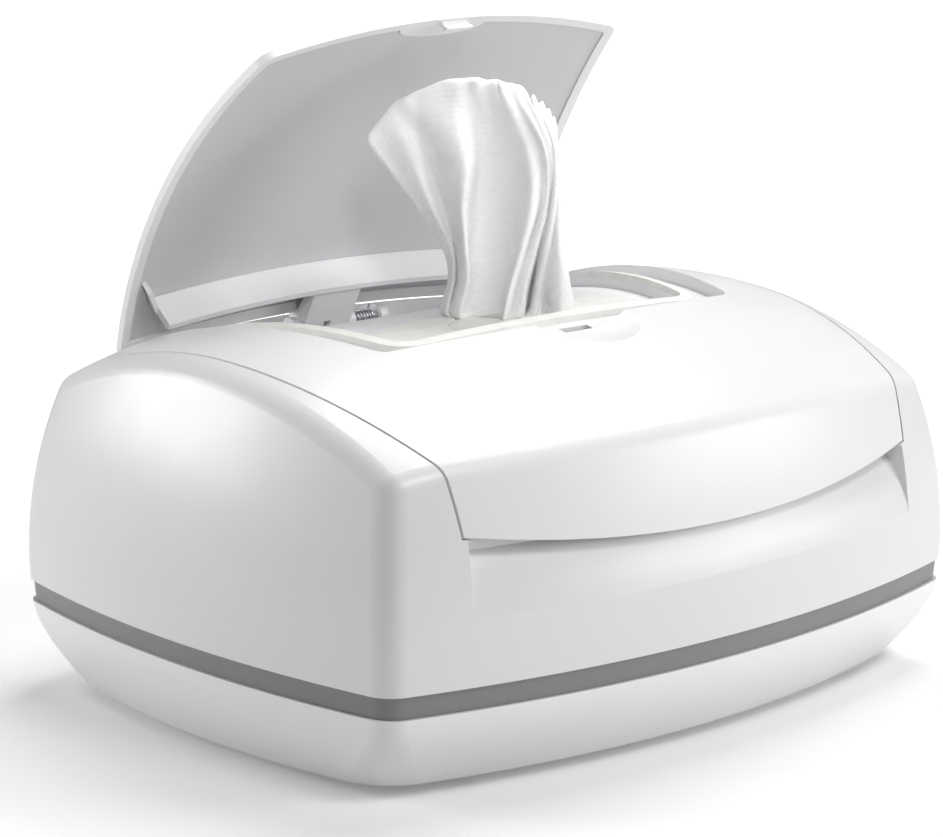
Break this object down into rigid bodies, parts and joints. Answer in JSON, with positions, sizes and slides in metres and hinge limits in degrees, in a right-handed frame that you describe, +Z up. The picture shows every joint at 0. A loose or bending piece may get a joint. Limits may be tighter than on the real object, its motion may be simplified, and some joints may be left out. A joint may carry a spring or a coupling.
{
  "type": "baby wipe warmer",
  "caption": "Countertop baby wipe warmer: rounded tub housing, hinged arched lid with a finger lip, sprung flip lid over a soft dispensing slot, heated tub and rear power inlet.",
  "frame": {"origin": "on the floor, under the middle of the warmer", "axes": "+Z up, +X to the right along the long side, the front with the lid's lip faces -Y"},
  "size_m": [0.257, 0.2184, 0.2121],
  "materials": {
    "white_shell": "satin pearl white moulding",
    "white_lid": "satin pearl white moulding",
    "grey_band": "satin grey moulding",
    "liner_grey": "fine satin grey moulding",
    "cream_rubber": "soft cream silicone, matt",
    "white_plate": "satin white moulding",
    "tub_plastic": "plain white moulding",
    "wipe_cloth": "embossed non-woven cloth, damp",
    "white_felt": "soft felt",
    "grey_foam": "closed cell foam",
    "aluminium": "rolled sheet",
    "amber_film": "glossy film",
    "sensor_metal": "nickel plated can",
    "board": "solder mask",
    "steel": "zinc plated",
    "black_plastic": "moulded",
    "black_rubber": "matt moulded rubber",
    "grey_rubber": "soft foam rubber",
    "wire_jacket": "smooth wire insulation"
  },
  "bodies": {
    "base": {"base_shell": "white_shell", "rubber_feet": "black_rubber", "base_screws": "steel", "trim_band": "grey_band", "upper_housing": "white_shell", "main_hinge_pins": "steel", "inner_tub": "tub_plastic", "moisture_pad": "white_felt", "heater_plate": "aluminium", "heater_film": "amber_film", "thermostat": "sensor_metal", "thermal_fuse": "sensor_metal", "insulation_pad": "grey_foam", "control_board": "board", "board_screws": "steel", "dc_jack": "black_plastic", "lead_wires": "wire_jacket"},
    "main_lid": {"main_lid_shell": "white_lid", "rim_gasket": "cream_rubber", "dispenser_plate": "white_plate", "orifice_insert": "cream_rubber", "main_lid_liner": "tub_plastic", "lid_seal": "grey_rubber", "liner_screws": "steel", "flip_hinge_pin": "steel", "flip_spring": "steel", "wipe": "wipe_cloth"},
    "flip_lid": {"flip_lid_shell": "white_lid", "flip_lid_liner": "liner_grey"}
  },
  "joints": [
    {"name": "main_lid_hinge", "type": "hinge", "parent": "base", "child": "main_lid", "pos_m": [0, 0.10706, 0.08091], "axis": [-1, 0, 0], "range_deg": [0, 100]},
    {"name": "flip_lid_hinge", "type": "hinge", "parent": "main_lid", "child": "flip_lid", "pos_m": [0, 0.0861, 0.1024], "axis": [1, 0, 0], "range_deg": [0, 49.1], "stiffness_Nm_per_rad": 0.08, "springref_deg": -34.38, "deforming": ["wipe"]}
  ]
}
